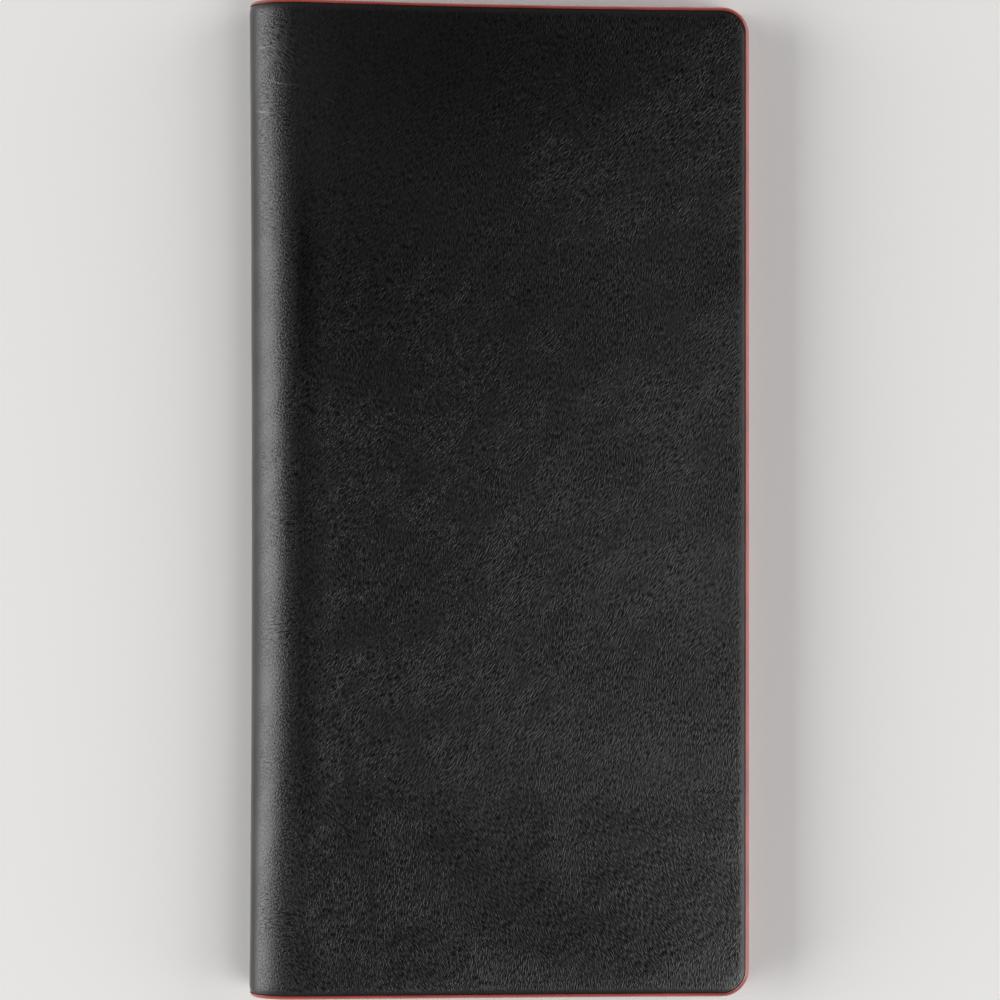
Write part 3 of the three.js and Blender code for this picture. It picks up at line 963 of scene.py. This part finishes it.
def seam(node, side, depth, tail, head, mouth):
    """Three rows of stitches round a pocket, open at its mouth."""
    bm = bmesh.new()
    left, right = pocket_across + SEAM_INSET, pocket_edge - SEAM_INSET
    low, high = tail + SEAM_INSET, head - SEAM_INSET
    if mouth == "spine":
        corners = [(left, low), (right, low), (right, high), (left, high)]
    else:
        corners = [(left, high), (left, low), (right, low), (right, high)]
    for start, end in zip(corners, corners[1:]):
        sew_row(bm, start, end, depth)
    piece = finish_piece(bm, node + "_stitches", side, THREAD, sharp=180)
    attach(piece, "front_cover" if side > 0 else "back_cover")
    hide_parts(node)


def seam_of(pocket_node, seam_node, side, depth, mouth):
    """Sews a pocket where its frame node lies. A slot's stitches start as low as its seam node does."""
    tail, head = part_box(pocket_node)[0].y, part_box(pocket_node)[1].y
    if mouth == "head":
        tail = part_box(seam_node)[0].y - SEAM_INSET
    seam(seam_node, side, depth, tail, head, mouth)


seam_of("document_pocket", "document_pocket_seam", -1, full_depth + full_thickness, "spine")
seam_of("passport_pocket", "passport_pocket_seam", -1, passport_depth + full_thickness, "head")
seam_of("ticket_pocket", "ticket_pocket_seam", 1, full_depth + full_thickness, "spine")
for slot, depth in enumerate(card_depths, 1):
    seam_of(f"card_slot_{slot}", f"card_slot_seam_{slot}", 1, depth + CARD_THICKNESS, "head")

# %% [markdown]
# ## Floor, light and camera
#
# The floor is plain and pale, and fades into an even backdrop far from the wallet. Near the wallet it
# keeps the shadow, but what the leather and the bead mirror is mostly the pale backdrop. A large soft
# light on the left draws the band along the spine. A panel beyond the tail on the right lifts the
# lower part of the cover, and a low card on the right lights the fore edge. The room is pale at the
# horizon and dim overhead, so black leather seen from above stays black.

# %% Floor
FLOOR_SIZE = 6.0
FLOOR_NEAR = 0.3  # from here the floor fades, and beyond the next it is all backdrop
FLOOR_FAR = 1.0
FLOOR_MIRRORED = 0.75  # the share of backdrop that reflections show at least
FLOOR_COLOUR = (0.84, 0.83, 0.82, 1)
FLOOR_ROUGHNESS = 0.85
BACKDROP = (0.8, 0.79, 0.78, 1)


def pale_floor():
    bm = bmesh.new()
    bmesh.ops.create_grid(bm, x_segments=1, y_segments=1, size=FLOOR_SIZE / 2)
    mesh = bpy.data.meshes.new("floor")
    bm.to_mesh(mesh)
    bm.free()
    material, tree, shader = new_finish("pale_floor")
    shader.inputs["Base Color"].default_value = FLOOR_COLOUR
    shader.inputs["Roughness"].default_value = FLOOR_ROUGHNESS
    spot = add_node(tree, "ShaderNodeTexCoord").outputs["Object"]
    reach = add_node(tree, "ShaderNodeVectorMath", {0: spot}, operation="LENGTH").outputs["Value"]
    rays = add_node(tree, "ShaderNodeLightPath").outputs
    mirrored = sums(tree, "ADD", rays["Is Glossy Ray"], rays["Is Transmission Ray"], clamp=True)
    seen = sums(tree, "ADD", rays["Is Camera Ray"], mirrored, clamp=True)
    share = times(tree, seen, band(tree, reach, FLOOR_NEAR, FLOOR_FAR))
    share = sums(tree, "MAXIMUM", share, times(tree, mirrored, FLOOR_MIRRORED))
    glow = add_node(tree, "ShaderNodeEmission", {"Color": BACKDROP, "Strength": 1.0})
    both = add_node(tree, "ShaderNodeMixShader", {
        "Fac": share, 1: shader.outputs["BSDF"], 2: glow.outputs["Emission"],
    })
    tree.links.new(both.outputs["Shader"], tree.nodes["Material Output"].inputs["Surface"])
    mesh.materials.append(material)
    floor = bpy.data.objects.new("floor", mesh)
    bpy.context.scene.collection.objects.link(floor)
    print("floor", FLOOR_SIZE, "m wide")


pale_floor()

# %% Lights
HORIZON_LEVEL = 1.0
HORIZON_TOP = 0.1
OVERHEAD_LEVEL = 0.02
OVERHEAD_FROM = 0.55


def soft_light(name, place, target, width, height, watts):
    lamp = bpy.data.lights.new(name, "AREA")
    lamp.shape = "RECTANGLE"
    lamp.size = width
    lamp.size_y = height
    lamp.energy = watts
    made = bpy.data.objects.new(name, lamp)
    made.location = place
    made.rotation_euler = (Vector(target) - Vector(place)).to_track_quat("-Z", "Y").to_euler()
    bpy.context.scene.collection.objects.link(made)
    print(name, watts, "W")


soft_light("left_window", place=(-1.4, -0.1, 0.82), target=(0, -0.1, 0.82),
           width=1.35, height=1.55, watts=33.0)
soft_light("right_panel", place=(0.95, -0.75, 1.5), target=(0, 0, 0),
           width=1.1, height=1.1, watts=13.0)
soft_light("right_card", place=(1.3, 0.1, 0.55), target=(0, 0.1, 0.2),
           width=1.7, height=1.1, watts=13.0)

world = bpy.data.worlds.new("studio")
world.use_nodes = True
background = world.node_tree.nodes["Background"]
background.inputs["Color"].default_value = BACKDROP
heading = add_node(world.node_tree, "ShaderNodeTexCoord").outputs["Generated"]
upwards = add_node(world.node_tree, "ShaderNodeSeparateXYZ", {0: heading}).outputs["Z"]
level = add_node(world.node_tree, "ShaderNodeMapRange", {
    "Value": upwards, "From Min": HORIZON_TOP, "From Max": OVERHEAD_FROM,
    "To Min": HORIZON_LEVEL, "To Max": OVERHEAD_LEVEL,
}, interpolation_type="SMOOTHSTEP")
world.node_tree.links.new(level.outputs["Result"], background.inputs["Strength"])
bpy.context.scene.world = world
bpy.context.scene.view_settings.view_transform = "Standard"

# %% Camera
CAMERA_HEIGHT = 0.62
CAMERA_OFFSET = -0.0002  # a touch towards the tail, where the photograph is centred
FRAME_HEIGHT = 0.2192  # what the picture's side spans, at the level of the front cover
SENSOR = 36.0

camera_data = bpy.data.cameras.new("camera")
camera_data.sensor_width = SENSOR
camera_data.lens = SENSOR * (CAMERA_HEIGHT - thickness) / FRAME_HEIGHT
camera = bpy.data.objects.new("camera", camera_data)
camera.location = (0, CAMERA_OFFSET, CAMERA_HEIGHT)
bpy.context.scene.collection.objects.link(camera)
bpy.context.scene.camera = camera
print("lens", round(camera_data.lens, 1), "mm")

# %% [markdown]
# ## Finish
#
# The view layer is brought up to date at the end.

# %% Bring the scene up to date
bpy.context.view_layer.update()
